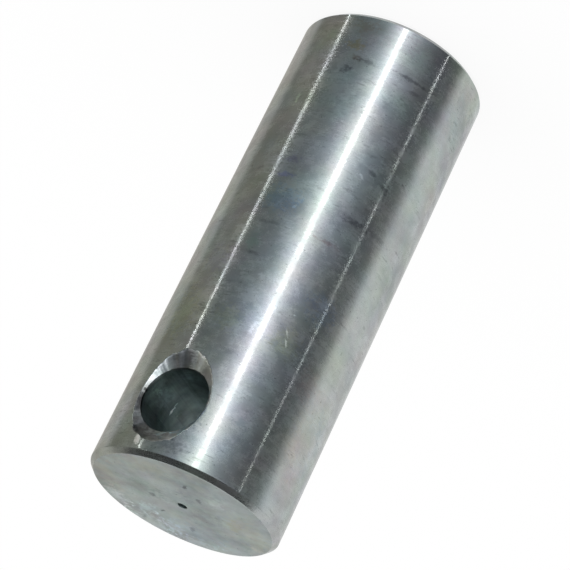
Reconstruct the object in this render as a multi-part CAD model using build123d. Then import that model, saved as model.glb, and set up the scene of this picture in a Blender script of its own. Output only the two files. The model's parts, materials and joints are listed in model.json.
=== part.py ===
from build123d import *
import math
import os

# A plain round steel pin, turned from bar in one piece and zinc plated. It stands on
# its plain end at z = 0, with its axis along +Z. Both ends are faced and chamfered.
# Near the top end one hole is drilled straight across, along Y, for the bolt or clip
# that keeps the pin in place, and both of its mouths are countersunk with the wide
# angle of a large drill. The top face keeps the small drilled mark at its centre.
# Sizes are in millimetres.

# The turned body
pin_diameter = 30.0
pin_length = 80.0
end_chamfer = 0.8

# The cross hole
hole_diameter = 10.5
hole_from_end = 10.0
sink_diameter = 15.3
sink_angle = 118.0

# The mark at the centre of the top face
mark_diameter = 1.5
mark_depth = 0.9
mark_point_angle = 118.0

# How far the drills run out past the surface that they cut
run_out = 2.0

pin_radius = pin_diameter / 2
hole_radius = hole_diameter / 2
sink_radius = sink_diameter / 2
mark_radius = mark_diameter / 2


def flare(angle):
    """How much the radius of a cone of this full angle grows for each mm along its axis."""
    return math.tan(math.radians(angle / 2))


def turned_body():
    """The bar as it leaves the lathe: one half section, turned about Z."""
    with BuildPart() as body:
        with BuildSketch(Plane.XZ):
            with BuildLine():
                Polyline(
                    (0, 0),
                    (pin_radius - end_chamfer, 0),
                    (pin_radius, end_chamfer),
                    (pin_radius, pin_length - end_chamfer),
                    (pin_radius - end_chamfer, pin_length),
                    (0, pin_length),
                    close=True,
                )
            make_face()
        revolve(axis=Axis.Z)
    return body.part


def centre_mark():
    """The drilled mark: a short hole with a pointed end, sunk in the top face."""
    point_length = mark_radius / flare(mark_point_angle)
    with BuildPart() as drill:
        with BuildSketch(Plane.XZ):
            with BuildLine():
                Polyline(
                    (0, pin_length + run_out),
                    (mark_radius, pin_length + run_out),
                    (mark_radius, pin_length - mark_depth),
                    (0, pin_length - mark_depth - point_length),
                    close=True,
                )
            make_face()
        revolve(axis=Axis.Z)
    return drill.part


def straight_half():
    """From the pin's axis to where the straight hole ends and its countersink starts."""
    return pin_radius - (sink_radius - hole_radius) / flare(sink_angle)


def cross_hole():
    """The drill and both countersinks, as one half section turned about the hole's axis.

    A cone cut into a round bar leaves a saddle-shaped edge: it is widest along the bar,
    where the surface is highest, and narrowest across it, where the surface falls away.
    """
    widening = flare(sink_angle)
    sink_bottom = straight_half()
    tool_end = pin_radius + run_out
    tool_end_radius = sink_radius + run_out * widening
    hole_centre = Plane((0, 0, pin_length - hole_from_end), x_dir=(0, 1, 0), z_dir=(1, 0, 0))
    with BuildPart() as drill:
        with BuildSketch(hole_centre):
            with BuildLine():
                Polyline(
                    (-tool_end, 0),
                    (-tool_end, tool_end_radius),
                    (-sink_bottom, hole_radius),
                    (sink_bottom, hole_radius),
                    (tool_end, tool_end_radius),
                    (tool_end, 0),
                    close=True,
                )
            make_face()
        revolve(axis=Axis(hole_centre.origin, hole_centre.x_dir))
    return drill.part


def make_pin():
    pin = turned_body() - cross_hole() - centre_mark()
    pin.label = "pin"
    return pin


def main():
    os.makedirs("parts", exist_ok=True)
    pin = make_pin()
    print(f"pin volume {pin.volume:.1f} mm3, straight part of the cross hole {2 * straight_half():.3f} mm")
    export_step(pin, "parts/pin.step")


main()
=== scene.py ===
import json
import math

import bmesh
import bpy
from mathutils import Matrix, Vector, noise


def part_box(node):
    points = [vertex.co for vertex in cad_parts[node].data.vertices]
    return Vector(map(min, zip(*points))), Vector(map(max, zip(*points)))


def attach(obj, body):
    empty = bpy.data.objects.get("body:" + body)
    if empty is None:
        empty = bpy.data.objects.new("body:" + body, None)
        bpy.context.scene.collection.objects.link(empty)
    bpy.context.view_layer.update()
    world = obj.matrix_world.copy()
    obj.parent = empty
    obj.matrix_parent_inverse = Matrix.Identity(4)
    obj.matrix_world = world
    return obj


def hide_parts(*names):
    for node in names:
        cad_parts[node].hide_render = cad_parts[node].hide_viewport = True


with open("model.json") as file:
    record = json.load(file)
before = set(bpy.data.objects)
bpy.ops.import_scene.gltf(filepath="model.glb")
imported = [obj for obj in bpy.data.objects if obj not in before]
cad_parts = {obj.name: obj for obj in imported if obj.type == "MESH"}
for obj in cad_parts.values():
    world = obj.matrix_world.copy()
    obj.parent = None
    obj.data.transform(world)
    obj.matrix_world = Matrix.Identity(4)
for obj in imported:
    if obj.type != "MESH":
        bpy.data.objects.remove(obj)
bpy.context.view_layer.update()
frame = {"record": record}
cadMounts = {mount["name"]: mount for mount in frame["record"]["mounts"]}
mm = 0.001

# The pin, in metres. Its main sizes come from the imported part, the small ones and how worn its edges are
# are set here.
pinLow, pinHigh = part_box("pin")
crossHole = cadMounts["cross_hole"]
shank = cadMounts["shank"]
pin = {
    "length": pinHigh.z - pinLow.z,
    "radius": shank["dims"]["r_mm"] * mm,
    "plainLength": shank["dims"]["length_mm"] * mm,
    "holeRadius": crossHole["dims"]["r_mm"] * mm,
    "holeHeight": crossHole["pos_m"][2],
    "holeStraight": crossHole["dims"]["length_mm"] * mm,
    "sinkAngle": 118,        # full angle of the countersink, degrees
    "markRadius": 0.75 * mm,
    "markDepth": 0.9 * mm,
    "markAngle": 118,
    "softEdge": 0.10 * mm,   # how far every sharp edge is broken
    "softSegments": 3,
    "sharpTurn": 20,         # an end's edge that turns by more degrees than this is sharp
    "steps": 192,            # facets round the pin
    "mouthSteps": 16,        # columns from the middle of a hole's mouth to the edge of its patch
    "mouthRows": 26,         # rows of the patch along the pin
    "mouthReach": 8.7 * mm,  # half the patch's height
    "burr": 0.16,            # how ragged the edge of the countersink is, as a share of its width
    "burrWaves": (5, 14),    # how fine its coarse and its fine raggedness are
    "burrFine": 0.6,         # how strong the fine one is beside the coarse one
    "chips": 0.12 * mm,      # how far the rim of the straight hole is chipped, at the most
    "chipWaves": 9,
    "chipSeed": 3,
    "chipReach": 0.8 * mm,   # how far in the chips end
    "merge": 1e-7,           # in metres: points that are nearer than this are one
}
turnedSlot, facedSlot, drilledSlot = 0, 1, 2
flatNormal, uprightNormal = 0.9, 0.5  # a face whose normal has more Z is flat, and with less it is upright


def turnBar(bm, shape):
    # half of the pin's section, spun round Z
    radius, length = shape["radius"], shape["length"]
    chamfer = (length - shape["plainLength"]) / 2
    markPoint = shape["markRadius"] / math.tan(math.radians(shape["markAngle"] / 2))
    low = shape["holeHeight"] - shape["mouthReach"]
    rowStep = 2 * shape["mouthReach"] / shape["mouthRows"]
    section = [(0, 0), (radius - chamfer, 0), (radius, chamfer)]
    section += [(radius, low + rowStep * row) for row in range(shape["mouthRows"] + 1)]
    section += [(radius, length - chamfer), (radius - chamfer, length)]
    section += [(shape["markRadius"], length), (shape["markRadius"], length - shape["markDepth"])]
    section += [(0, length - shape["markDepth"] - markPoint)]
    corners = [bm.verts.new((x, 0, z)) for x, z in section]
    edges = [bm.edges.new(pair) for pair in zip(corners, corners[1:])]
    bmesh.ops.spin(bm, geom=corners + edges, cent=(0, 0, 0), axis=(0, 0, 1), angle=math.tau,
                   steps=shape["steps"], use_merge=True, use_duplicate=False)
    bmesh.ops.remove_doubles(bm, verts=bm.verts, dist=shape["merge"])
    bmesh.ops.recalc_face_normals(bm, faces=bm.faces)
    for face in bm.faces:
        middle = face.calc_center_median()
        if abs(face.normal.z) > flatNormal:
            face.material_index = facedSlot
        if middle.xy.length < shape["markRadius"] and middle.z > length / 2:
            face.material_index = drilledSlot


def cutPatch(bm, side, shape):
    # takes the round surface away where a mouth of the hole goes, and gives back the open edge
    width = math.sin(math.tau * shape["mouthSteps"] / shape["steps"]) * shape["radius"]
    patch = []
    for face in bm.faces:
        middle = face.calc_center_median()
        inPatch = abs(middle.x) < width and abs(middle.z - shape["holeHeight"]) < shape["mouthReach"]
        onRound = abs(face.normal.z) < uprightNormal and face.material_index == turnedSlot
        if inPatch and onRound and middle.y * side > 0:
            patch.append(face)
    bmesh.ops.delete(bm, geom=patch, context="FACES")
    return [edge for edge in bm.edges if edge.is_boundary and edge.verts[0].co.y * side > 0]


def onBar(x, z, side, shape):
    # the point of the round surface that lies over x and z, looking along the hole
    return Vector((x, side * math.sqrt(shape["radius"] ** 2 - x * x), z))


def crestRadius(angle, shape):
    # how far from the hole's axis the cone of the countersink comes out of the round bar
    rise = 1 / math.tan(math.radians(shape["sinkAngle"] / 2))
    start = shape["holeStraight"] / 2 - shape["holeRadius"] * rise
    spread = rise ** 2 + math.cos(angle) ** 2
    root = math.sqrt((start * rise) ** 2 - spread * (start ** 2 - shape["radius"] ** 2))
    return (root - start * rise) / spread


def ripple(spoke, waves, seed):
    # smooth noise round the hole; more waves make it finer
    return noise.noise(Vector((spoke.x * waves, spoke.z * waves, seed)))


def mouthPoint(x, z, share, side, shape):
    # share 0 is the patch's edge, 1 the crest of the countersink, 2 the rim of the straight hole and
    # 3 a ring just inside it
    centre, radius = shape["holeHeight"], shape["holeRadius"]
    angle = math.atan2(z - centre, x)
    spoke = Vector((math.cos(angle), 0, math.sin(angle)))
    if share > 2:
        return spoke * radius + Vector((0, side * (shape["holeStraight"] / 2 - shape["chipReach"]), centre))
    crest = crestRadius(angle, shape)
    coarse, fine = shape["burrWaves"]
    ragged = ripple(spoke, coarse, side) + shape["burrFine"] * ripple(spoke, fine, side)
    crest += (crest - radius) * shape["burr"] * ragged
    crestX, crestZ = crest * spoke.x, centre + crest * spoke.z
    if share <= 1:
        return onBar(x + (crestX - x) * share, z + (crestZ - z) * share, side, shape)
    chipped = max(0, ripple(spoke, shape["chipWaves"], shape["chipSeed"] + side)) * shape["chips"]
    rim = spoke * (radius + chipped) + Vector((0, side * shape["holeStraight"] / 2, centre))
    return onBar(crestX, crestZ, side, shape).lerp(rim, share - 1)


def drillMouth(bm, side, shape):
    # draws the patch's edge inwards, ring by ring, and gives back the crest, the rim and the last ring;
    # the shares are those of mouthPoint
    edges = cutPatch(bm, side, shape)
    home = {vert: (vert.co.x, vert.co.z) for edge in edges for vert in edge.verts}
    rings = {}
    for share in (0.5, 1.0, 1.5, 2.0, 3.0):
        made = bmesh.ops.extrude_edge_only(bm, edges=edges)["geom"]
        ring = {item for item in made if isinstance(item, bmesh.types.BMVert)}
        nextHome = {}
        for vert in ring:
            neighbours = [edge.other_vert(vert) for edge in vert.link_edges]
            nextHome[vert] = next(home[before] for before in neighbours if before in home)
            vert.co = mouthPoint(*nextHome[vert], share, side, shape)
        edges = [item for item in made if isinstance(item, bmesh.types.BMEdge) and set(item.verts) <= ring]
        home = nextHome
        rings[share] = edges
        if share > 1:
            for edge in edges:
                for face in edge.link_faces:
                    face.material_index = drilledSlot
    return rings[1.0], rings[2.0], rings[3.0]


def evenNormals(mesh, shape):
    # the round surface gets its true normals, and elsewhere the largest face at a point decides
    totals = [Vector() for vert in mesh.vertices]
    for face in mesh.polygons:
        for index in face.vertices:
            totals[index] += face.normal * face.area ** 2
    chamfer = (shape["length"] - shape["plainLength"]) / 2
    for vert in mesh.vertices:
        onRound = abs(vert.co.xy.length - shape["radius"]) < shape["merge"]
        if onRound and chamfer < vert.co.z < shape["length"] - chamfer:
            totals[vert.index] = Vector((vert.co.x, vert.co.y, 0))
    mesh.shade_smooth()
    mesh.normals_split_custom_set_from_vertices([total.normalized() for total in totals])


def buildPin(shape):
    bm = bmesh.new()
    turnBar(bm, shape)
    ends = [edge for edge in bm.edges if edge.calc_face_angle() > math.radians(shape["sharpTurn"])]
    crests, rims, innerRings = zip(*[drillMouth(bm, side, shape) for side in (-1, 1)])
    bore = bmesh.ops.bridge_loops(bm, edges=innerRings[0] + innerRings[1])["faces"]
    for face in bore:
        face.material_index = drilledSlot
    bmesh.ops.recalc_face_normals(bm, faces=bm.faces)
    sharp = ends + crests[0] + crests[1] + rims[0] + rims[1]
    bmesh.ops.bevel(bm, geom=sharp, offset=shape["softEdge"], offset_type="OFFSET", affect="EDGES",
                    segments=shape["softSegments"], profile=0.5, material=-1)
    mesh = bpy.data.meshes.new("turnedPin")
    bm.to_mesh(mesh)
    bm.free()
    evenNormals(mesh, shape)
    piece = bpy.data.objects.new("turnedPin", mesh)
    bpy.context.scene.collection.objects.link(piece)
    print(f"turned pin: {len(mesh.polygons)} faces")
    return piece


turnedPin = buildPin(pin)
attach(turnedPin, "root")
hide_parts("pin")


def newMaterial(name):
    material = bpy.data.materials.new(name)
    material.use_nodes = True
    material.node_tree.nodes.clear()
    return material, material.node_tree


def addNode(tree, kind, inputs=None, **settings):
    # inputs are values, or sockets to link from
    node = tree.nodes.new(kind)
    for name, value in settings.items():
        setattr(node, name, value)
    for name, value in (inputs or {}).items():
        if isinstance(value, bpy.types.NodeSocket):
            tree.links.new(value, node.inputs[name])
        else:
            node.inputs[name].default_value = value
    return node


def maths(tree, operation, *values):
    node = addNode(tree, "ShaderNodeMath", dict(enumerate(values)), operation=operation)
    return node.outputs[0]


def vectorMaths(tree, operation, first, second):
    node = addNode(tree, "ShaderNodeVectorMath", {0: first, 1: second}, operation=operation)
    return node.outputs[0]


def newGroup(name, inputs, outputs):
    # a shader node group; inputs are (name, kind, default)
    group = bpy.data.node_groups.new(name, "ShaderNodeTree")
    for label, kind, value in inputs:
        item = group.interface.new_socket(label, in_out="INPUT", socket_type=kind)
        if value is not None:
            item.default_value = value
    for label, kind in outputs:
        group.interface.new_socket(label, in_out="OUTPUT", socket_type=kind)
    return group, group.nodes.new("NodeGroupInput").outputs, group.nodes.new("NodeGroupOutput").inputs


def useGroup(tree, group, inputs):
    return addNode(tree, "ShaderNodeGroup", inputs, node_tree=group).outputs


def scaled(tree, vector, x, y, z):
    # the vector divided by three lengths
    by = addNode(tree, "ShaderNodeCombineXYZ", {0: x, 1: y, 2: z})
    return vectorMaths(tree, "DIVIDE", vector, by.outputs[0])


def evenNoise(tree, vector, size, detail, roughness=0.5):
    # noise that is equally coarse in every direction
    return addNode(tree, "ShaderNodeTexNoise", {
        "Vector": scaled(tree, vector, size, size, size), "Scale": 1.0, "Detail": detail,
        "Roughness": roughness}).outputs["Fac"]


def ramp(tree, value, fromMin, fromMax, toMin=0.0, toMax=1.0, smooth=False):
    node = addNode(tree, "ShaderNodeMapRange", {
        "Value": value, "From Min": fromMin, "From Max": fromMax, "To Min": toMin, "To Max": toMax},
        interpolation_type="SMOOTHSTEP" if smooth else "LINEAR")
    return node.outputs[0]


def rotated(tree, first, second, cosine, sine):
    # two coordinates, turned by an angle
    onward = maths(tree, "MULTIPLY", first, cosine)
    onward = maths(tree, "ADD", onward, maths(tree, "MULTIPLY", second, sine))
    sideways = maths(tree, "MULTIPLY", second, cosine)
    sideways = maths(tree, "SUBTRACT", sideways, maths(tree, "MULTIPLY", first, sine))
    return onward, sideways


def streakNoise(tree, vector, width, length, detail):
    # noise that is short along Z and longer round it
    return addNode(tree, "ShaderNodeTexNoise", {
        "Vector": scaled(tree, vector, length, length, width), "Scale": 1.0, "Detail": detail,
        "Roughness": 0.6}).outputs["Fac"]


def turningMarksGroup():
    # marks that a tool leaves round the Z axis
    group, given, made = newGroup("turningMarks", [
        ("Position", "NodeSocketVector", None), ("Width", "NodeSocketFloat", 0.0002),
        ("Length", "NodeSocketFloat", 0.0016), ("Detail", "NodeSocketFloat", 2.0),
    ], [("Marks", "NodeSocketFloat")])
    streaks = streakNoise(group, given["Position"], given["Width"], given["Length"], given["Detail"])
    group.links.new(streaks, made["Marks"])
    return group


def zincBloomGroup():
    # cloudy zinc: patches that lean to blue, green or violet, and are a little lighter or duller
    group, given, made = newGroup("zincBloom", [
        ("Position", "NodeSocketVector", None), ("Size", "NodeSocketFloat", 0.005),
        ("Tint", "NodeSocketFloat", 0.1), ("Shade", "NodeSocketFloat", 0.2),
    ], [("Colour", "NodeSocketColor"), ("Cloud", "NodeSocketFloat")])
    place = scaled(group, given["Position"], given["Size"], given["Size"], given["Size"])
    tints = addNode(group, "ShaderNodeTexNoise", {
        "Vector": place, "Scale": 1.0, "Detail": 3.0, "Roughness": 0.5})
    shades = addNode(group, "ShaderNodeTexNoise", {
        "Vector": place, "Scale": 1.4, "Detail": 3.0, "Roughness": 0.55})
    broad = addNode(group, "ShaderNodeTexNoise", {"Vector": place, "Scale": 0.4, "Detail": 1.0})
    leaned = addNode(group, "ShaderNodeVectorMath", {
        0: vectorMaths(group, "SUBTRACT", tints.outputs["Color"], (0.5, 0.5, 0.5)), "Scale": given["Tint"]},
        operation="SCALE")
    both = maths(group, "ADD", shades.outputs["Fac"], broad.outputs["Fac"])
    cloud = maths(group, "SUBTRACT", both, 1.0)
    level = maths(group, "ADD", maths(group, "MULTIPLY", cloud, given["Shade"]), 1.0)
    group.links.new(vectorMaths(group, "ADD", leaned.outputs[0], level), made["Colour"])
    group.links.new(shades.outputs["Fac"], made["Cloud"])
    return group


def strokeGroup():
    # one mark or stain on a surface: an ellipse or a short line with ragged edges
    group, given, made = newGroup("stroke", [
        ("Across", "NodeSocketFloat", 0.0), ("Along", "NodeSocketFloat", 0.0),
        ("Half Length", "NodeSocketFloat", 0.002), ("Half Width", "NodeSocketFloat", 0.0005),
        ("Turn", "NodeSocketFloat", 0.0), ("Edge", "NodeSocketFloat", 0.5),
        ("Ragged", "NodeSocketFloat", 0.3), ("Noise", "NodeSocketFloat", 0.5),
    ], [("Mask", "NodeSocketFloat")])
    cosine, sine = maths(group, "COSINE", given["Turn"]), maths(group, "SINE", given["Turn"])
    first, second = rotated(group, given["Across"], given["Along"], cosine, sine)
    first = maths(group, "DIVIDE", first, given["Half Length"])
    second = maths(group, "DIVIDE", second, given["Half Width"])
    squared = maths(group, "MULTIPLY", first, first)
    squared = maths(group, "ADD", squared, maths(group, "MULTIPLY", second, second))
    roughen = maths(group, "MULTIPLY", maths(group, "SUBTRACT", given["Noise"], 0.5), given["Ragged"])
    away = maths(group, "ADD", maths(group, "SQRT", squared), roughen)
    inner = maths(group, "SUBTRACT", 1.0, given["Edge"])
    group.links.new(ramp(group, away, 1.0, inner, smooth=True), made["Mask"])
    return group


def specksGroup():
    # small round spots scattered over a surface, few and far between
    group, given, made = newGroup("specks", [
        ("Position", "NodeSocketVector", None), ("Size", "NodeSocketFloat", 0.0003),
        ("Share", "NodeSocketFloat", 0.7), ("Edge", "NodeSocketFloat", 0.06),
    ], [("Mask", "NodeSocketFloat")])
    spots = evenNoise(group, given["Position"], given["Size"], detail=1.0)
    top = maths(group, "ADD", given["Share"], given["Edge"])
    group.links.new(ramp(group, spots, given["Share"], top), made["Mask"])
    return group


turningMarks = turningMarksGroup()
zincBloom = zincBloomGroup()
stroke = strokeGroup()
specks = specksGroup()

# Zinc plated steel as it comes off the lathe. Lengths are in metres, colours are linear.
turned = {
    "colour": (0.382, 0.411, 0.403, 1), "edgeTint": (0.72, 0.72, 0.72, 1),
    "roughness": 0.15, "anisotropy": 1.0,
    "markWidth": 0.26 * mm, "markLength": 0.8 * mm, "markDepth": 0.010 * mm,
    "waveWidth": 0.9 * mm, "waveLength": 2.2 * mm, "waveDepth": 0.0012 * mm,
    "grainWidth": 0.40 * mm, "grainLength": 3.0 * mm, "grainShade": 0.16, "grainRough": 0.5,
    "bloomSize": 5.5 * mm, "bloomTint": 0.26, "bloomShade": 0.46,
    "pitSize": 0.30 * mm, "pitShare": 0.73, "pitShade": 0.60,
    "cloudWidth": 1.3 * mm, "cloudLength": 2.6 * mm, "cloudShade": 0.24,
    "scuffWidth": 0.42 * mm, "scuffLength": 2.0 * mm, "scuffShade": 0.34,
    "scuffFrom": (0.58, 0.72), "scuffClouds": (0.48, 0.60),  # where scuffs start, and in which clouds
    "hazeShare": 0.52, "hazePale": 1.10, "hazeRoughness": 0.31, "hazeFrom": (0.42, 0.60),
    "hazeSize": 2.3 * mm, "hazeWidth": 0.45 * mm, "hazeLength": 2.0 * mm, "hazeBrush": 0.28,
}
faced = {
    "colour": (0.295, 0.338, 0.332, 1), "roughness": 0.42, "anisotropy": 0.0,
    "bloomSize": 2.6 * mm, "bloomTint": 0.20, "bloomShade": 0.80,
    "pitSize": 0.45 * mm, "pitShare": 0.73, "pitShade": 0.45,
    "grainSize": 0.4 * mm, "grainDepth": 0.012 * mm, "cloudRough": 0.4,
}
drilled = {
    "colour": (1.0, 1.04, 1.03), "roughness": 0.34, "deepRoughness": 0.42,
    "paintedSinkShades": [  # degrees round the hole on the side the camera sees, and the painted light and shade of the reflections there
        (0, 0.078), (12, 0.026), (30, 0.09), (45, 0.26), (60, 0.12), (78, 0.14), (92, 0.28), (110, 0.48),
        (130, 0.57), (165, 0.38), (190, 0.48), (208, 0.44), (230, 0.26), (240, 0.28), (249, 0.50),
        (258, 0.54), (272, 0.145), (285, 0.18), (298, 0.25), (314, 0.36), (330, 0.78), (346, 0.45),
    ],
    "deepColour": (0.235, 0.292, 0.290, 1), "deepFrom": 13.5 * mm, "deepTo": 12.9 * mm,
    "markWidth": 0.16 * mm, "markLength": 0.7 * mm, "markDepth": 0.014 * mm,
    "chatterSize": 0.13, "chatterDepth": 0.10 * mm, "shadeUneven": 0.06,
    # the edge of the countersink is worn bright and carries a painted highlight on one side, and on another
    # has painted light that fades it into the bar's reflection: the colour there, the side in degrees round
    # the hole, how that ends round it, and how deep it goes
    "glintWearEdge": (2.6, 2.6, 2.6), "glintWearSide": 300, "glintWearSpread": (-0.1, 0.75), "glintWearLeast": 0.05,
    "glintWearDepth": (0.24 * mm, 0.05 * mm), "glintWearMarks": (0.35, 0.60),
    "paintedFadeEdge": (1.9, 1.95, 1.95), "fadedSide": 160, "fadedSpread": (0.3, 0.9), "fadedDepth": 0.16 * mm,
    "bloomSize": 2.2 * mm, "bloomTint": 0.20, "bloomShade": 1.3,
}
# Marks on the photographed side. The colour multiplies the metal's own, half sizes are in mm and a turn is
# in degrees. On the bar a mark is at degrees round it from the camera's side and a height in mm, on the end
# at an x and y in mm, and in the hole at degrees round the hole and a y in mm.
markOutline = {"size": (mm, mm, 0.7 * mm), "scale": 1.3, "edge": 0.8, "ragged": 3.2}
smudge, blueStain, oliveStain = (0.50, 0.50, 0.52), (0.80, 0.94, 1.14), (1.05, 1.02, 0.80)
bright, paleStain, violetStain = (2.4, 2.4, 2.4), (1.22, 1.22, 1.16), (0.90, 0.87, 1.08)
barMarks = [
    # a painted highlight: the glint of the left lamp's line between the countersink and the chamfer
    {"at": (40.8, 77.4), "half": (0.6, 1.1), "strength": 1.0, "colour": (6.0, 6.0, 6.0)},
    # dark lines and smears that run round the bar
    {"at": (-13, 8.4), "half": (3.2, 0.42), "turn": 1, "strength": 0.9, "colour": smudge},
    {"at": (-17, 10.2), "half": (1.6, 0.50), "turn": 4, "strength": 0.6, "colour": smudge},
    {"at": (17, 8.6), "half": (2.0, 0.50), "turn": -2, "strength": 0.7, "colour": smudge},
    {"at": (-18, 34.0), "half": (2.8, 0.75), "strength": 0.9, "colour": smudge},
    {"at": (-34, 33.6), "half": (3.4, 0.60), "strength": 0.5, "colour": smudge},
    {"at": (-9, 39.0), "half": (2.9, 0.45), "turn": 1, "strength": 0.9, "colour": (0.72, 0.62, 0.62)},
    {"at": (26, 39.4), "half": (3.4, 0.42), "turn": -1, "strength": 0.5, "colour": smudge},
    {"at": (27, 44.9), "half": (1.8, 0.42), "turn": -3, "strength": 0.6, "colour": smudge},
    {"at": (-15, 25.4), "half": (1.1, 0.45), "strength": 0.8, "colour": smudge},
    {"at": (-25.6, 26.7), "half": (0.8, 1.30), "strength": 1.0, "colour": (0.45, 0.45, 0.46)},
    {"at": (-36, 23.8), "half": (0.5, 0.30), "strength": 1.0, "colour": smudge},
    {"at": (-8, 70.2), "half": (1.3, 0.90), "strength": 0.7, "colour": (0.66, 0.74, 0.76)},
    {"at": (50, 30.0), "half": (2.4, 0.45), "turn": 12, "strength": 0.4, "colour": smudge},
    {"at": (26, 10.8), "half": (1.1, 0.80), "turn": 14, "strength": 0.9, "colour": smudge},
    {"at": (24, 8.4), "half": (1.2, 0.70), "turn": -12, "strength": 0.9, "colour": (0.64, 0.55, 0.50)},
    {"at": (-4, 14.0), "half": (0.8, 1.30), "turn": 20, "strength": 0.4, "colour": smudge},
    {"at": (14, 61.0), "half": (1.2, 0.60), "turn": 10, "strength": 0.4, "colour": smudge},
    # broad duller and paler areas
    {"at": (5, 2.6), "half": (8.5, 3.2), "strength": 0.7, "colour": (1.00, 0.92, 0.96)},
    {"at": (-2, 4.5), "half": (2.0, 5.0), "strength": 0.6, "colour": (0.80, 0.78, 0.80)},
    {"at": (-29, 4.0), "half": (2.4, 5.0), "strength": 0.7, "colour": (1.32, 1.30, 1.28)},
    {"at": (17, 17.5), "half": (1.8, 3.2), "strength": 0.7, "colour": (1.24, 1.26, 1.24)},
    {"at": (12, 52.5), "half": (3.0, 10.5), "strength": 0.7, "colour": (1.12, 1.13, 1.16)},
    {"at": (-5, 44.0), "half": (1.4, 7.0), "strength": 0.7, "colour": (1.11, 1.12, 1.11)},
    {"at": (26, 77.3), "half": (5.0, 1.5), "strength": 0.8, "colour": (0.66, 0.68, 0.69)},
    {"at": (13, 71.5), "half": (0.8, 3.2), "strength": 0.8, "colour": (0.62, 0.66, 0.70)},
    {"at": (17.5, 76.3), "half": (1.5, 2.4), "strength": 0.8, "colour": (0.80, 0.80, 0.81)},
    {"at": (12.5, 71.0), "half": (1.0, 2.4), "strength": 0.7, "colour": (0.86, 0.86, 0.87)},
    {"at": (62, 73.5), "half": (1.7, 4.2), "strength": 0.8, "colour": (1.24, 1.22, 1.22)},
    {"at": (-41, 4.2), "half": (2.2, 4.4), "strength": 0.8, "colour": (1.16, 1.15, 1.15)},
    {"at": (-71, 2.4), "half": (2.6, 2.2), "strength": 0.8, "colour": (1.22, 1.20, 1.20)},
    {"at": (35, 11.0), "half": (1.1, 2.8), "strength": 0.8, "colour": (0.78, 0.80, 0.79)},
    {"at": (35, 54.0), "half": (1.1, 5.2), "strength": 0.8, "colour": (0.78, 0.81, 0.80)},
    {"at": (29, 65.5), "half": (1.7, 2.8), "strength": 0.8, "colour": (0.78, 0.80, 0.80)},
    # coloured stains
    {"at": (27, 6.3), "half": (2.1, 1.20), "strength": 0.8, "colour": (1.02, 0.88, 0.60)},
    {"at": (27, 2.6), "half": (2.6, 1.60), "strength": 0.8, "colour": (0.90, 0.84, 0.74)},
    {"at": (31, 30.9), "half": (2.2, 0.60), "strength": 0.9, "colour": (0.72, 0.72, 1.05)},
    {"at": (31, 28.1), "half": (1.4, 0.90), "strength": 0.8, "colour": (0.78, 0.74, 0.92)},
    {"at": (26, 35.0), "half": (3.4, 3.20), "strength": 0.8, "colour": blueStain},
    {"at": (-23, 48.8), "half": (3.2, 3.20), "strength": 0.8, "colour": (0.84, 0.92, 1.08)},
    {"at": (24, 56.0), "half": (2.4, 3.00), "strength": 0.6, "colour": oliveStain},
    {"at": (-35, 59.5), "half": (2.2, 3.20), "strength": 0.6, "colour": (1.06, 0.93, 0.92)},
    {"at": (54, 56.0), "half": (3.2, 6.00), "turn": 8, "strength": 0.6, "colour": oliveStain},
    {"at": (48, 47.0), "half": (2.4, 3.40), "strength": 0.5, "colour": violetStain},
    {"at": (30, 43.0), "half": (1.8, 1.60), "strength": 0.6, "colour": (0.88, 1.06, 0.98)},
    {"at": (-12, 56.0), "half": (3.0, 3.00), "strength": 0.5, "colour": oliveStain},
    {"at": (-60, 8.0), "half": (4.5, 6.00), "strength": 0.7, "colour": (0.88, 0.93, 0.94)},
    {"at": (-52, 66.0), "half": (5.0, 7.00), "strength": 0.6, "colour": (1.05, 0.99, 0.93)},
    {"at": (46, 4.5), "half": (1.6, 1.40), "strength": 0.5, "colour": (0.94, 1.12, 0.98)},
    # bright scratches
    {"at": (-12.2, 56.2), "half": (1.0, 0.20), "turn": -60, "strength": 1.0, "colour": bright},
    {"at": (-10.3, 54.7), "half": (0.9, 0.17), "turn": -56, "strength": 1.0, "colour": (1.9, 1.9, 1.9)},
    {"at": (-9.8, 51.7), "half": (0.28, 0.18), "strength": 1.0, "colour": (1.8, 1.8, 1.8)},
    {"at": (8.4, 56.4), "half": (1.7, 0.45), "turn": 84, "strength": 0.6, "colour": (1.5, 1.5, 1.5)},
    {"at": (-10, 26.8), "half": (0.7, 0.24), "turn": -40, "strength": 0.8, "colour": (1.6, 1.6, 1.6)},
    {"at": (17, 35.8), "half": (0.5, 0.24), "turn": 60, "strength": 0.8, "colour": (1.5, 1.5, 1.5)},
    {"at": (24, 17.8), "half": (0.9, 0.90), "strength": 0.7, "colour": paleStain},
    {"at": (48.5, 17.2), "half": (1.6, 0.36), "turn": 90, "strength": 0.9, "colour": (1.45, 1.55, 1.40)},
    {"at": (48, 25.0), "half": (1.8, 0.30), "turn": 88, "strength": 0.5, "colour": paleStain},
]
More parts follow.
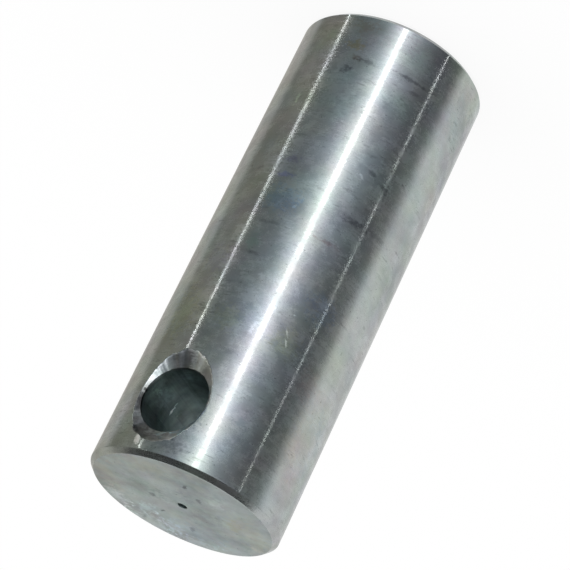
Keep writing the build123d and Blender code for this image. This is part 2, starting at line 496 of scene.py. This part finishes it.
endMarks = [
    {"at": (1.0, 9.0), "half": (6.5, 5.0), "strength": 0.9, "colour": (0.91, 0.97, 1.04)},
    {"at": (-9.5, 5.0), "half": (4.2, 7.6), "strength": 0.9, "colour": (1.07, 1.01, 0.91)},
    {"at": (11.0, -5.0), "half": (3.8, 7.0), "strength": 0.9, "colour": (1.10, 1.00, 0.95)},
    {"at": (1.0, -11.0), "half": (9.5, 3.2), "strength": 0.9, "colour": (1.09, 1.02, 0.95)},
    {"at": (6.0, -3.5), "half": (4.4, 4.0), "strength": 0.9, "colour": (0.81, 0.87, 0.84)},
    {"at": (-4.0, -6.5), "half": (3.4, 4.6), "strength": 0.8, "colour": (0.85, 0.87, 0.91)},
    {"at": (-2.5, 3.0), "half": (3.6, 3.0), "turn": 60, "strength": 0.8, "colour": (0.85, 0.86, 0.88)},
    {"at": (9.6, 8.6), "half": (4.8, 4.8), "strength": 0.9, "colour": (1.44, 1.43, 1.46)},
    {"at": (12.6, 2.0), "half": (2.2, 4.6), "strength": 0.9, "colour": (1.48, 1.44, 1.47)},
    {"at": (3.5, 12.6), "half": (5.6, 2.4), "strength": 0.9, "colour": (1.36, 1.34, 1.36)},
    {"at": (-8.0, 11.5), "half": (3.0, 2.4), "turn": 40, "strength": 0.8, "colour": (1.22, 1.16, 1.18)},
    {"at": (0.5, -2.5), "half": (4.2, 3.2), "strength": 0.9, "colour": (0.82, 0.84, 0.86)},
    {"at": (-3.5, -9.8), "half": (3.0, 2.0), "strength": 0.8, "colour": (1.08, 1.13, 1.14)},
    {"at": (8.2, 4.0), "half": (3.2, 1.9), "turn": 40, "strength": 1.0, "colour": (1.29, 1.35, 1.38)},
    {"at": (5.5, 8.5), "half": (2.6, 3.2), "turn": 20, "strength": 1.0, "colour": (1.23, 1.24, 1.32)},
    {"at": (-7.2, -3.8), "half": (2.2, 2.6), "strength": 1.0, "colour": (1.27, 1.29, 1.27)},
    {"at": (-9.0, 9.5), "half": (2.6, 1.8), "turn": 50, "strength": 0.8, "colour": (1.11, 1.10, 1.08)},
    {"at": (-7.5, 3.0), "half": (1.6, 3.0), "turn": -20, "strength": 0.8, "colour": (0.93, 0.91, 0.81)},
    {"at": (-3.7, -6.8), "half": (1.2, 0.45), "turn": 62, "strength": 1.0, "colour": (0.35, 0.36, 0.36)},
    {"at": (5.0, 3.4), "half": (0.9, 0.4), "turn": 40, "strength": 1.0, "colour": (0.40, 0.42, 0.42)},
    {"at": (1.8, 7.8), "half": (1.3, 0.7), "turn": 60, "strength": 0.8, "colour": smudge},
    {"at": (-4.3, -3.2), "half": (0.9, 0.5), "turn": 50, "strength": 0.9, "colour": smudge},
    {"at": (4.4, -1.8), "half": (1.0, 0.6), "turn": 60, "strength": 0.9, "colour": smudge},
    {"at": (-5.5, 2.0), "half": (2.6, 0.9), "turn": 70, "strength": 0.7, "colour": (0.73, 0.73, 0.77)},
    {"at": (10.0, 7.0), "half": (1.1, 0.6), "turn": 60, "strength": 0.8, "colour": smudge},
    {"at": (-9.5, 12.0), "half": (1.3, 0.4), "turn": 20, "strength": 0.7, "colour": smudge},
    {"at": (8.0, -12.0), "half": (1.5, 0.4), "turn": 40, "strength": 0.7, "colour": smudge},
]
holeMarks = [
    {"at": (-18, -5.8), "half": (1.15, 0.20), "turn": 9, "strength": 1.0, "colour": (5.5, 5.5, 5.5)},
    {"at": (-30, -6.2), "half": (0.5, 0.14), "turn": 9, "strength": 0.9, "colour": (2.6, 2.6, 2.6)},
    {"at": (-21, -4.2), "half": (0.3, 0.10), "turn": 50, "strength": 0.8, "colour": (2.2, 2.2, 2.2)},
    {"at": (-10, -11.6), "half": (1.5, 1.5), "strength": 0.8, "colour": (1.5, 1.55, 1.45)},
    {"at": (-60, -9.0), "half": (2.2, 3.0), "strength": 0.2, "colour": (0.62, 0.62, 0.60)},
    {"at": (-75, -11.0), "half": (1.3, 1.8), "strength": 0.8, "colour": (1.7, 1.65, 1.7)},
    {"at": (-26, -11.6), "half": (1.6, 1.5), "strength": 0.7, "colour": (1.4, 1.45, 1.4)},
    {"at": (-21, -9.0), "half": (1.7, 2.2), "strength": 0.8, "colour": (1.45, 1.5, 1.5)},
    {"at": (5, -7.5), "half": (1.4, 1.4), "strength": 0.7, "colour": (0.70, 0.80, 0.74)},
]
# On the countersink a mark is at degrees round the hole and a distance from its axis in mm
sinkMarks = [
    # painted reflection: a pale band on the inner part of the countersink towards the top end, and painted
    # shade on its outer part
    {"at": (88, 5.8), "half": (2.3, 0.80), "strength": 1.0, "colour": (2.15, 2.35, 2.25)},
    {"at": (82, 7.2), "half": (3.4, 0.70), "strength": 1.0, "colour": (0.70, 0.70, 0.70)},
    {"at": (152, 5.8), "half": (5.2, 1.60), "strength": 1.0, "colour": (0.83, 0.99, 1.14)},
    {"at": (206, 5.4), "half": (1.5, 0.30), "strength": 1.0, "colour": (0.72, 0.80, 0.86)},
    {"at": (206, 6.0), "half": (1.5, 0.32), "strength": 0.9, "colour": (1.20, 1.26, 1.34)},
    {"at": (346, 5.8), "half": (0.8, 0.26), "strength": 1.0, "colour": (0.70, 0.70, 0.70)},
    # painted shadow: a dark crescent at the countersink's crest, towards the top end
    {"at": (64, 6.7), "half": (0.9, 0.60), "strength": 1.0, "colour": (0.35, 0.35, 0.36)},
    {"at": (354, 5.4), "half": (0.5, 0.30), "strength": 1.0, "colour": (0.25, 0.25, 0.25)},
]


def objectPosition(tree):
    return addNode(tree, "ShaderNodeTexCoord").outputs["Object"]


def multiplied(tree, colour, other):
    return vectorMaths(tree, "MULTIPLY", colour, other)


def mixed(tree, mask, first, second):
    mix = addNode(tree, "ShaderNodeMix", {"Factor": mask}, data_type="RGBA")
    for socket, colour in ((mix.inputs[6], first), (mix.inputs[7], second)):
        if isinstance(colour, bpy.types.NodeSocket):
            tree.links.new(colour, socket)
        else:
            socket.default_value = colour
    return mix.outputs[2]


def tinted(tree, mask, colour, factor):
    # multiplied by the factor where the mask is 1
    return mixed(tree, mask, colour, multiplied(tree, colour, factor))


def darkened(tree, mask, colour, amount):
    return multiplied(tree, colour, maths(tree, "SUBTRACT", 1.0, maths(tree, "MULTIPLY", mask, amount)))


def shaded(tree, value, amount):
    # a factor round 1 from a noise value round a half
    return maths(tree, "ADD", maths(tree, "MULTIPLY", maths(tree, "SUBTRACT", value, 0.5), amount), 1.0)


def bumped(tree, height, depth, under=None):
    inputs = {"Height": height, "Distance": depth, "Strength": 1.0}
    if under is not None:
        inputs["Normal"] = under
    return addNode(tree, "ShaderNodeBump", inputs).outputs[0]


def lengthOf(tree, first, second):
    pair = addNode(tree, "ShaderNodeCombineXYZ", {0: first, 1: second})
    return addNode(tree, "ShaderNodeVectorMath", {0: pair.outputs[0]}, operation="LENGTH").outputs["Value"]


def lathed(tree, position, finish, name, detail=2.0):
    # one kind of turning mark; the finish gives its width and length under its name
    return useGroup(tree, turningMarks, {"Position": position, "Width": finish[name + "Width"],
                                         "Length": finish[name + "Length"], "Detail": detail})["Marks"]


def bloomed(tree, position, finish):
    return useGroup(tree, zincBloom, {"Position": position, "Size": finish["bloomSize"],
                                      "Tint": finish["bloomTint"], "Shade": finish["bloomShade"]})


def pitted(tree, colour, position, finish):
    pits = useGroup(tree, specks, {"Position": position, "Size": finish["pitSize"],
                                   "Share": finish["pitShare"]})["Mask"]
    return darkened(tree, pits, colour, finish["pitShade"])


def finishMaterial(tree, colour, roughness, normal, finish, haze=None):
    shader = addNode(tree, "ShaderNodeBsdfPrincipled", {
        "Base Color": colour, "Metallic": 1.0, "Roughness": roughness, "Normal": normal,
        "Anisotropic": finish.get("anisotropy", 0.0),
        "Anisotropic Rotation": 0.25,  # a quarter turn, as the marks run round the bar
        "Specular Tint": finish.get("edgeTint", (1, 1, 1, 1))})
    if haze is not None:  # where the zinc is cloudy it scatters more
        pale = multiplied(tree, colour, (finish["hazePale"],) * 3)
        dull = addNode(tree, "ShaderNodeBsdfPrincipled", {
            "Base Color": pale, "Metallic": 1.0, "Roughness": finish["hazeRoughness"], "Normal": normal})
        shader = addNode(tree, "ShaderNodeMixShader", {0: haze, 1: shader.outputs[0], 2: dull.outputs[0]})
    out = addNode(tree, "ShaderNodeOutputMaterial")
    tree.links.new(shader.outputs[0], out.inputs[0])


def markedColour(tree, colour, marks, across, along, place):
    # lays the marks over the metal's colour; place gives a mark's centre in metres
    ragged = addNode(tree, "ShaderNodeTexNoise", {
        "Vector": scaled(tree, objectPosition(tree), *markOutline["size"]), "Scale": markOutline["scale"],
        "Detail": 4.0, "Roughness": 0.7}).outputs["Fac"]
    for mark in marks:
        centre = place(mark)
        mask = useGroup(tree, stroke, {
            "Across": maths(tree, "SUBTRACT", across, centre[0]),
            "Along": maths(tree, "SUBTRACT", along, centre[1]),
            "Half Length": mark["half"][0] * mm, "Half Width": mark["half"][1] * mm,
            "Turn": math.radians(mark.get("turn", 0)), "Noise": ragged,
            "Edge": markOutline["edge"], "Ragged": markOutline["ragged"]})["Mask"]
        colour = tinted(tree, maths(tree, "MULTIPLY", mask, mark["strength"]), colour, mark["colour"])
    return colour


def aroundAxis(radius):
    # for marks that are placed by degrees round an axis and a distance in mm
    return lambda mark: (math.radians(mark["at"][0]) * radius, mark["at"][1] * mm)


def roundBar(tree, parts):
    # the way round the bar from the camera's side, so that it doesn't jump on the photographed half
    turnX, turnY = rotated(tree, parts[0], parts[1], math.cos(cameraSide), math.sin(cameraSide))
    return maths(tree, "MULTIPLY", maths(tree, "ARCTAN2", turnY, turnX), pin["radius"])


def hazeMask(tree, position, finish):
    # the cloudy patches, whose edges run out along the marks of turning
    cloud = evenNoise(tree, position, finish["hazeSize"], detail=3.0, roughness=0.6)
    streaks = streakNoise(tree, position, finish["hazeWidth"], finish["hazeLength"], detail=2.0)
    brushed = maths(tree, "SUBTRACT", streaks, 0.5)
    cloud = maths(tree, "ADD", cloud, maths(tree, "MULTIPLY", brushed, finish["hazeBrush"]))
    return ramp(tree, cloud, *finish["hazeFrom"], 0.0, finish["hazeShare"])


def turnedMaterial(finish, marks):
    material, tree = newMaterial("turnedZinc")
    position = objectPosition(tree)
    parts = addNode(tree, "ShaderNodeSeparateXYZ", {0: position}).outputs
    bloom = bloomed(tree, position, finish)
    grain = lathed(tree, position, finish, "grain", detail=3.0)
    clouds = lathed(tree, position, finish, "cloud")
    scuffs = ramp(tree, lathed(tree, position, finish, "scuff"), *finish["scuffFrom"])
    scuffs = maths(tree, "MULTIPLY", scuffs, ramp(tree, bloom["Cloud"], *finish["scuffClouds"]))
    colour = multiplied(tree, bloom["Colour"], finish["colour"][:3])
    colour = multiplied(tree, colour, shaded(tree, grain, finish["grainShade"]))
    colour = multiplied(tree, colour, shaded(tree, clouds, finish["cloudShade"]))
    colour = darkened(tree, scuffs, colour, finish["scuffShade"])
    colour = pitted(tree, colour, position, finish)
    colour = markedColour(tree, colour, marks, roundBar(tree, parts), parts[2], aroundAxis(pin["radius"]))
    roughness = maths(tree, "MULTIPLY", shaded(tree, grain, finish["grainRough"]), finish["roughness"])
    waves = bumped(tree, lathed(tree, position, finish, "wave", detail=1.0), finish["waveDepth"])
    normal = bumped(tree, lathed(tree, position, finish, "mark"), finish["markDepth"], waves)
    finishMaterial(tree, colour, roughness, normal, finish, hazeMask(tree, position, finish))
    return material


def facedMaterial(finish, marks):
    material, tree = newMaterial("facedZinc")
    position = objectPosition(tree)
    parts = addNode(tree, "ShaderNodeSeparateXYZ", {0: position}).outputs
    bloom = bloomed(tree, position, finish)
    plain = multiplied(tree, bloom["Colour"], finish["colour"][:3])
    plain = pitted(tree, plain, position, finish)
    marked = markedColour(tree, plain, marks, parts[0], parts[1],
                          lambda mark: (mark["at"][0] * mm, mark["at"][1] * mm))
    top = maths(tree, "GREATER_THAN", parts[2], pin["length"] / 2)
    grain = evenNoise(tree, position, finish["grainSize"], detail=3.0)
    normal = bumped(tree, grain, finish["grainDepth"])
    roughness = shaded(tree, bloom["Cloud"], finish["cloudRough"])
    roughness = maths(tree, "MULTIPLY", roughness, finish["roughness"])
    finishMaterial(tree, mixed(tree, top, plain, marked), roughness, normal, finish)
    return material


def onSide(tree, roundHole, side, spread, least=0.0):
    # 1 on one side of the hole, and down to the least away from it
    near = maths(tree, "COSINE", maths(tree, "SUBTRACT", roundHole, math.radians(side)))
    return ramp(tree, near, *spread, least, 1.0)


def paintedSinkShade(tree, share, shades):
    # the painted light and shade of the reflections round the hole, from 0 to 1 all round it
    node = addNode(tree, "ShaderNodeValToRGB", {0: share})
    stops = node.color_ramp.elements
    stops.remove(stops[1])
    start = shades[0][1]
    stops[0].position, stops[0].color = 0, (start, start, start, 1)
    for angle, shade in shades[1:] + [(360, start)]:
        stops.new(angle / 360).color = (shade, shade, shade, 1)
    return node.outputs["Color"]


def sinkColour(tree, finish, marks, x, y, rise, roundHole, fine, bloom):
    share = maths(tree, "FRACT", maths(tree, "DIVIDE", roundHole, math.tau))
    uneven = maths(tree, "MULTIPLY", maths(tree, "SUBTRACT", fine, 0.5), finish["shadeUneven"])
    shade = paintedSinkShade(tree, maths(tree, "ADD", share, uneven), finish["paintedSinkShades"])
    colour = multiplied(tree, multiplied(tree, bloom["Colour"], finish["colour"]), shade)
    roundSink = maths(tree, "MULTIPLY", share, math.tau * pin["holeRadius"])
    colour = markedColour(tree, colour, marks, roundSink, lengthOf(tree, x, rise),
                          aroundAxis(pin["holeRadius"]))
    outward, edge = lengthOf(tree, x, y), pin["radius"]
    # painted light: near the crest on one side the countersink is lightened to the brightness of the bar's
    # reflection
    paintedFade = maths(tree, "MULTIPLY", onSide(tree, roundHole, finish["fadedSide"], finish["fadedSpread"]),
                  ramp(tree, outward, edge - finish["fadedDepth"], edge))
    colour = tinted(tree, paintedFade, colour, finish["paintedFadeEdge"])
    # a worn edge that also carries a painted highlight, on one side of the hole
    inner, outer = finish["glintWearDepth"]
    glintWear = maths(tree, "MULTIPLY", ramp(tree, outward, edge - inner, edge - outer),
                 ramp(tree, fine, *finish["glintWearMarks"]))
    glintWear = maths(tree, "MULTIPLY", glintWear,
                 onSide(tree, roundHole, finish["glintWearSide"], finish["glintWearSpread"], finish["glintWearLeast"]))
    return tinted(tree, glintWear, colour, finish["glintWearEdge"])


def drilledMaterial(finish, boreMarks, sinkMarks):
    # the hole's own axis takes the place of Z
    material, tree = newMaterial("drilledZinc")
    position = objectPosition(tree)
    parts = addNode(tree, "ShaderNodeSeparateXYZ", {0: position}).outputs
    turn = addNode(tree, "ShaderNodeMapping", {"Vector": position, "Rotation": (math.radians(90), 0, 0)})
    rise = maths(tree, "SUBTRACT", parts[2], pin["holeHeight"])
    roundHole = maths(tree, "ARCTAN2", rise, parts[0])
    fine = lathed(tree, turn.outputs[0], finish, "mark")
    bloom = bloomed(tree, position, finish)
    sink = sinkColour(tree, finish, sinkMarks, parts[0], parts[1], rise, roundHole, fine, bloom)
    bore = multiplied(tree, bloom["Colour"], finish["deepColour"][:3])
    roundBore = maths(tree, "MULTIPLY", roundHole, pin["holeRadius"])
    bore = markedColour(tree, bore, boreMarks, roundBore, parts[1], aroundAxis(pin["holeRadius"]))
    deep = ramp(tree, maths(tree, "ABSOLUTE", parts[1]), finish["deepFrom"], finish["deepTo"], smooth=True)
    roughness = ramp(tree, deep, 0.0, 1.0, finish["roughness"], finish["deepRoughness"])
    # chatter: spokes round the hole's axis
    flat = addNode(tree, "ShaderNodeCombineXYZ", {0: parts[0], 2: rise})
    spoke = addNode(tree, "ShaderNodeVectorMath", {0: flat.outputs[0]}, operation="NORMALIZE").outputs[0]
    chatter = evenNoise(tree, spoke, finish["chatterSize"], detail=2.0)
    chatter = bumped(tree, chatter, finish["chatterDepth"])
    normal = bumped(tree, fine, finish["markDepth"], chatter)
    finishMaterial(tree, mixed(tree, deep, sink, bore), roughness, normal, finish)
    return material


# The camera looks down on the hole end, turned so far over that the hole end is at the lower left
view = {
    "azimuth": -34.13, "elevation": 24.295, "roll": 154.098, "distance": 377.54 * mm,
    "aim": Vector((0.779, 0.091, 41.128)) * mm,
    "focalPixels": 2500, "photoPixels": 570, "sensor": 36, "clip": (0.01, 20),
}


def placeCamera(view):
    azimuth, elevation = math.radians(view["azimuth"]), math.radians(view["elevation"])
    back = Vector((math.sin(azimuth) * math.cos(elevation), -math.cos(azimuth) * math.cos(elevation),
                   math.sin(elevation)))
    lens = bpy.data.cameras.new("camera")
    lens.sensor_width = view["sensor"]
    lens.lens = view["focalPixels"] / view["photoPixels"] * view["sensor"]
    lens.clip_start, lens.clip_end = view["clip"]
    camera = bpy.data.objects.new("camera", lens)
    upright = back.to_track_quat("Z", "Y").to_matrix()
    camera.matrix_world = (Matrix.Translation(view["aim"] + back * view["distance"])
                           @ (upright @ Matrix.Rotation(-math.radians(view["roll"]), 3, "Z")).to_4x4())
    bpy.context.scene.collection.objects.link(camera)
    bpy.context.scene.camera = camera
    print(f"camera: {lens.lens:.0f} mm lens, {view['distance'] / mm:.0f} mm away")
    return math.atan2(back.y, back.x)  # the side of the pin that the camera is on


cameraSide = placeCamera(view)
turnedPin.data.materials.append(turnedMaterial(turned, barMarks))
turnedPin.data.materials.append(facedMaterial(faced, endMarks))
turnedPin.data.materials.append(drilledMaterial(drilled, holeMarks, sinkMarks))
print(f"materials: {len(turnedPin.data.materials)} on the pin, {len(bpy.data.node_groups)} node groups")


# The floor: pale, and white to the eye and to the metal, with the shadow kept
whiteFloor = {"radius": 6.0, "segments": 96, "white": 0.88}  # white is the share that is light of its own


def buildFloor(shape):
    bm = bmesh.new()
    bmesh.ops.create_circle(bm, cap_ends=True, segments=shape["segments"], radius=shape["radius"])
    mesh = bpy.data.meshes.new("floor")
    bm.to_mesh(mesh)
    bm.free()
    floor = bpy.data.objects.new("floor", mesh)
    bpy.context.scene.collection.objects.link(floor)
    material, tree = newMaterial("floorWhite")
    path = addNode(tree, "ShaderNodeLightPath")
    seen = maths(tree, "MAXIMUM", path.outputs["Is Camera Ray"], path.outputs["Is Glossy Ray"])
    seen = maths(tree, "MAXIMUM", seen, path.outputs["Is Transmission Ray"])
    seen = maths(tree, "MULTIPLY", seen, shape["white"])
    diffuse = addNode(tree, "ShaderNodeBsdfDiffuse", {"Color": (1, 1, 1, 1)})
    white = addNode(tree, "ShaderNodeEmission", {"Color": (1, 1, 1, 1), "Strength": 1.0})
    mix = addNode(tree, "ShaderNodeMixShader", {0: seen, 1: diffuse.outputs[0], 2: white.outputs[0]})
    out = addNode(tree, "ShaderNodeOutputMaterial")
    tree.links.new(mix.outputs[0], out.inputs[0])
    mesh.materials.append(material)
    print("floor: laid")


buildFloor(whiteFloor)

# Cards and strip lamps that only reflections see. Bearings are degrees round the pin from the camera's
# side, and a light of 1 is as bright as the white room.
studio = {
    "sheetFrom": -94, "sheetTo": 180, "sheetStep": 2,
    "lift": 0.2 * mm, "gap": 0.4 * mm, "reach": 320 * mm, "height": 360 * mm,
    "fan": 2.593,  # behind the pin a sheet's foot turns so much faster than its far end
    "cards": [  # later ones lie over earlier ones, from one bearing to another with soft edges
        {"from": 129.4, "to": 400, "soft": (9, 9), "light": (0.71, 0.68, 0.63)},
        {"from": -75.5, "to": 128.8, "soft": (17, 9), "light": (0.330, 0.325, 0.290)},
        {"from": -75.5, "to": 75, "soft": (17, 10), "light": (0.222, 0.240, 0.238)},
        {"from": -75.5, "to": 10, "soft": (17, 20), "light": (0.205, 0.212, 0.216)},
        {"from": -61, "to": -36, "soft": (8, 10), "light": (0.160, 0.162, 0.168)},
    ],
    "glow": {"bearing": 7.4, "slant": -5, "light": (2.50, 2.46, 2.50), "fade": (11.0, 11.6, 12.5)},
    "lamps": [  # half their width in degrees, slant in degrees per metre, and their light near and far
        {"name": "broadLamp", "bearing": 7.5, "slant": -5, "half": 3.4, "near": 3.3, "far": 3.3},
        {"name": "leftLamp", "bearing": 81.4, "slant": -22, "half": 0.42, "near": 6.3, "far": 6.1},
        {"name": "rightLamp", "bearing": -52.6, "slant": 8, "half": 0.20, "near": 5.2, "far": 3.9},
    ],
    "lampFade": (20 * mm, 90 * mm), "lampRows": 16,  # where near goes over into far, and a lamp's rows
    "lampRise": 0.05 * mm, "lampInset": 0.2 * mm,    # how a lamp clears the cards
    "backPanel": {"from": 180, "to": 204, "reach": 220 * mm, "dark": 0.20, "edge": (0, 12)},
    "flag": {"from": -100, "to": 124, "step": 8, "light": 0.07,
             "rows": [(270 * mm, 300 * mm), (10 * mm, 340 * mm)]},
}


def softStep(tree, angle, at, soft):
    # 0 before the bearing, 1 after it
    return ramp(tree, angle, at - soft, at + soft, smooth=True)


def awayFrom(tree, angle, distance, item):
    # degrees between a point of the sheet and a slanted line on it
    line = maths(tree, "ADD", maths(tree, "MULTIPLY", distance, item["slant"]), item["bearing"])
    return maths(tree, "ABSOLUTE", maths(tree, "SUBTRACT", angle, line))


def buildSheet(name, rows, fromAngle, toAngle, step, slant=0):
    # a sheet that opens out from the pin's round surface; rows are (distance, height) pairs
    steps = round((toAngle - fromAngle) / step)
    bm = bmesh.new()
    bmesh.ops.create_grid(bm, x_segments=steps, y_segments=len(rows) - 1, size=0.5)  # from -0.5 to 0.5
    bearing = bm.verts.layers.float.new("bearing")
    away = bm.verts.layers.float.new("away")
    for vert in bm.verts:
        angle = fromAngle + (vert.co.x + 0.5) * (toAngle - fromAngle)
        distance, height = rows[round((vert.co.y + 0.5) * (len(rows) - 1))]
        angle += slant * distance
        vert[bearing] = angle
        vert[away] = distance
        # the metal mirrors a bearing at half its angle, so the sheet starts there
        half = angle / 2 if angle <= 180 else 90 + (angle - 180) * studio["fan"]
        foot, heading = cameraSide + math.radians(half), cameraSide + math.radians(angle)
        vert.co = Vector((math.cos(foot), math.sin(foot), 0)) * pin["radius"]
        vert.co += Vector((math.cos(heading), math.sin(heading), 0)) * distance
        vert.co.z = height
    mesh = bpy.data.meshes.new(name)
    bm.to_mesh(mesh)
    bm.free()
    sheet = bpy.data.objects.new(name, mesh)
    bpy.context.scene.collection.objects.link(sheet)
    sheet.visible_camera = False
    sheet.visible_diffuse = False
    sheet.visible_shadow = False
    sheet.visible_transmission = False
    return sheet


def sheetMaterial(sheet):
    material, tree = newMaterial(sheet.name)
    sheet.data.materials.append(material)
    return tree


def measured(tree, name):
    # the bearing, or the distance away, that buildSheet wrote on the sheet's points
    return addNode(tree, "ShaderNodeAttribute", attribute_name=name).outputs["Fac"]


def grey(tree, level):
    return addNode(tree, "ShaderNodeCombineXYZ", {0: level, 1: level, 2: level}).outputs[0]


def glowing(tree, light):
    shader = addNode(tree, "ShaderNodeEmission", {"Color": light})
    out = addNode(tree, "ShaderNodeOutputMaterial")
    tree.links.new(shader.outputs[0], out.inputs[0])


def buildCards(studio):
    # one sheet over the floor that stands up at its far end, with the soft glow of the broad lamp
    rows = [(studio["gap"], studio["lift"]), (studio["reach"], studio["lift"])]
    rows += [(studio["reach"], studio["height"])]
    sheet = buildSheet("sideCards", rows, studio["sheetFrom"], studio["sheetTo"], studio["sheetStep"])
    tree = sheetMaterial(sheet)
    angle, distance = measured(tree, "bearing"), measured(tree, "away")
    light = grey(tree, 1.0)
    for card in studio["cards"]:
        inside = softStep(tree, angle, card["from"], card["soft"][0])
        past = softStep(tree, angle, card["to"], card["soft"][1])
        light = mixed(tree, maths(tree, "SUBTRACT", inside, past), light, (*card["light"], 1))
    glow = studio["glow"]
    off = awayFrom(tree, angle, distance, glow)
    fades = [maths(tree, "MULTIPLY", maths(tree, "EXPONENT", maths(tree, "DIVIDE", off, -fade)), level)
             for fade, level in zip(glow["fade"], glow["light"])]
    extra = addNode(tree, "ShaderNodeCombineXYZ", dict(enumerate(fades))).outputs[0]
    glowing(tree, vectorMaths(tree, "ADD", light, extra))


def buildLamp(studio, lamp):
    # a narrow strip just over the cards
    reach, lift = studio["reach"] - studio["lampInset"], studio["lift"] + studio["lampRise"]
    count = studio["lampRows"]
    rows = [(studio["gap"] + reach * row / count, lift) for row in range(count + 1)]
    rows += [(reach, studio["height"])]
    beam = buildSheet(lamp["name"], rows, lamp["bearing"] - lamp["half"], lamp["bearing"] + lamp["half"],
                      lamp["half"], lamp["slant"])
    tree = sheetMaterial(beam)
    level = ramp(tree, measured(tree, "away"), *studio["lampFade"], lamp["near"], lamp["far"])
    glowing(tree, grey(tree, level))


def buildBackPanel(studio):
    # low and dark behind the pin, so that its back has some depth too
    back = studio["backPanel"]
    rows = [(studio["gap"], studio["lift"]), (back["reach"], studio["lift"])]
    panel = buildSheet("backPanel", rows, back["from"], back["to"], studio["sheetStep"])
    tree = sheetMaterial(panel)
    middle = (back["from"] + back["to"]) / 2
    off = maths(tree, "ABSOLUTE", maths(tree, "SUBTRACT", measured(tree, "bearing"), middle))
    glowing(tree, grey(tree, ramp(tree, off, *back["edge"], back["dark"], 1.0, smooth=True)))


def buildFlag(flag):
    # dark and high up, over the side that the camera sees
    sheet = buildSheet("overheadFlag", flag["rows"], flag["from"], flag["to"], flag["step"])
    glowing(sheetMaterial(sheet), (flag["light"],) * 3 + (1,))


buildCards(studio)
for lamp in studio["lamps"]:
    buildLamp(studio, lamp)
buildBackPanel(studio)
buildFlag(studio["flag"])
print(f"studio: {len(studio['cards'])} cards, {len(studio['lamps'])} lamps, a panel and a flag")

# Plain studio light: an even white room
world = bpy.data.worlds.new("room")
world.use_nodes = True
world.node_tree.nodes["Background"].inputs["Color"].default_value = (1, 1, 1, 1)
world.node_tree.nodes["Background"].inputs["Strength"].default_value = 1.0
bpy.context.scene.world = world

scene = bpy.context.scene
scene.view_settings.view_transform = "Standard"
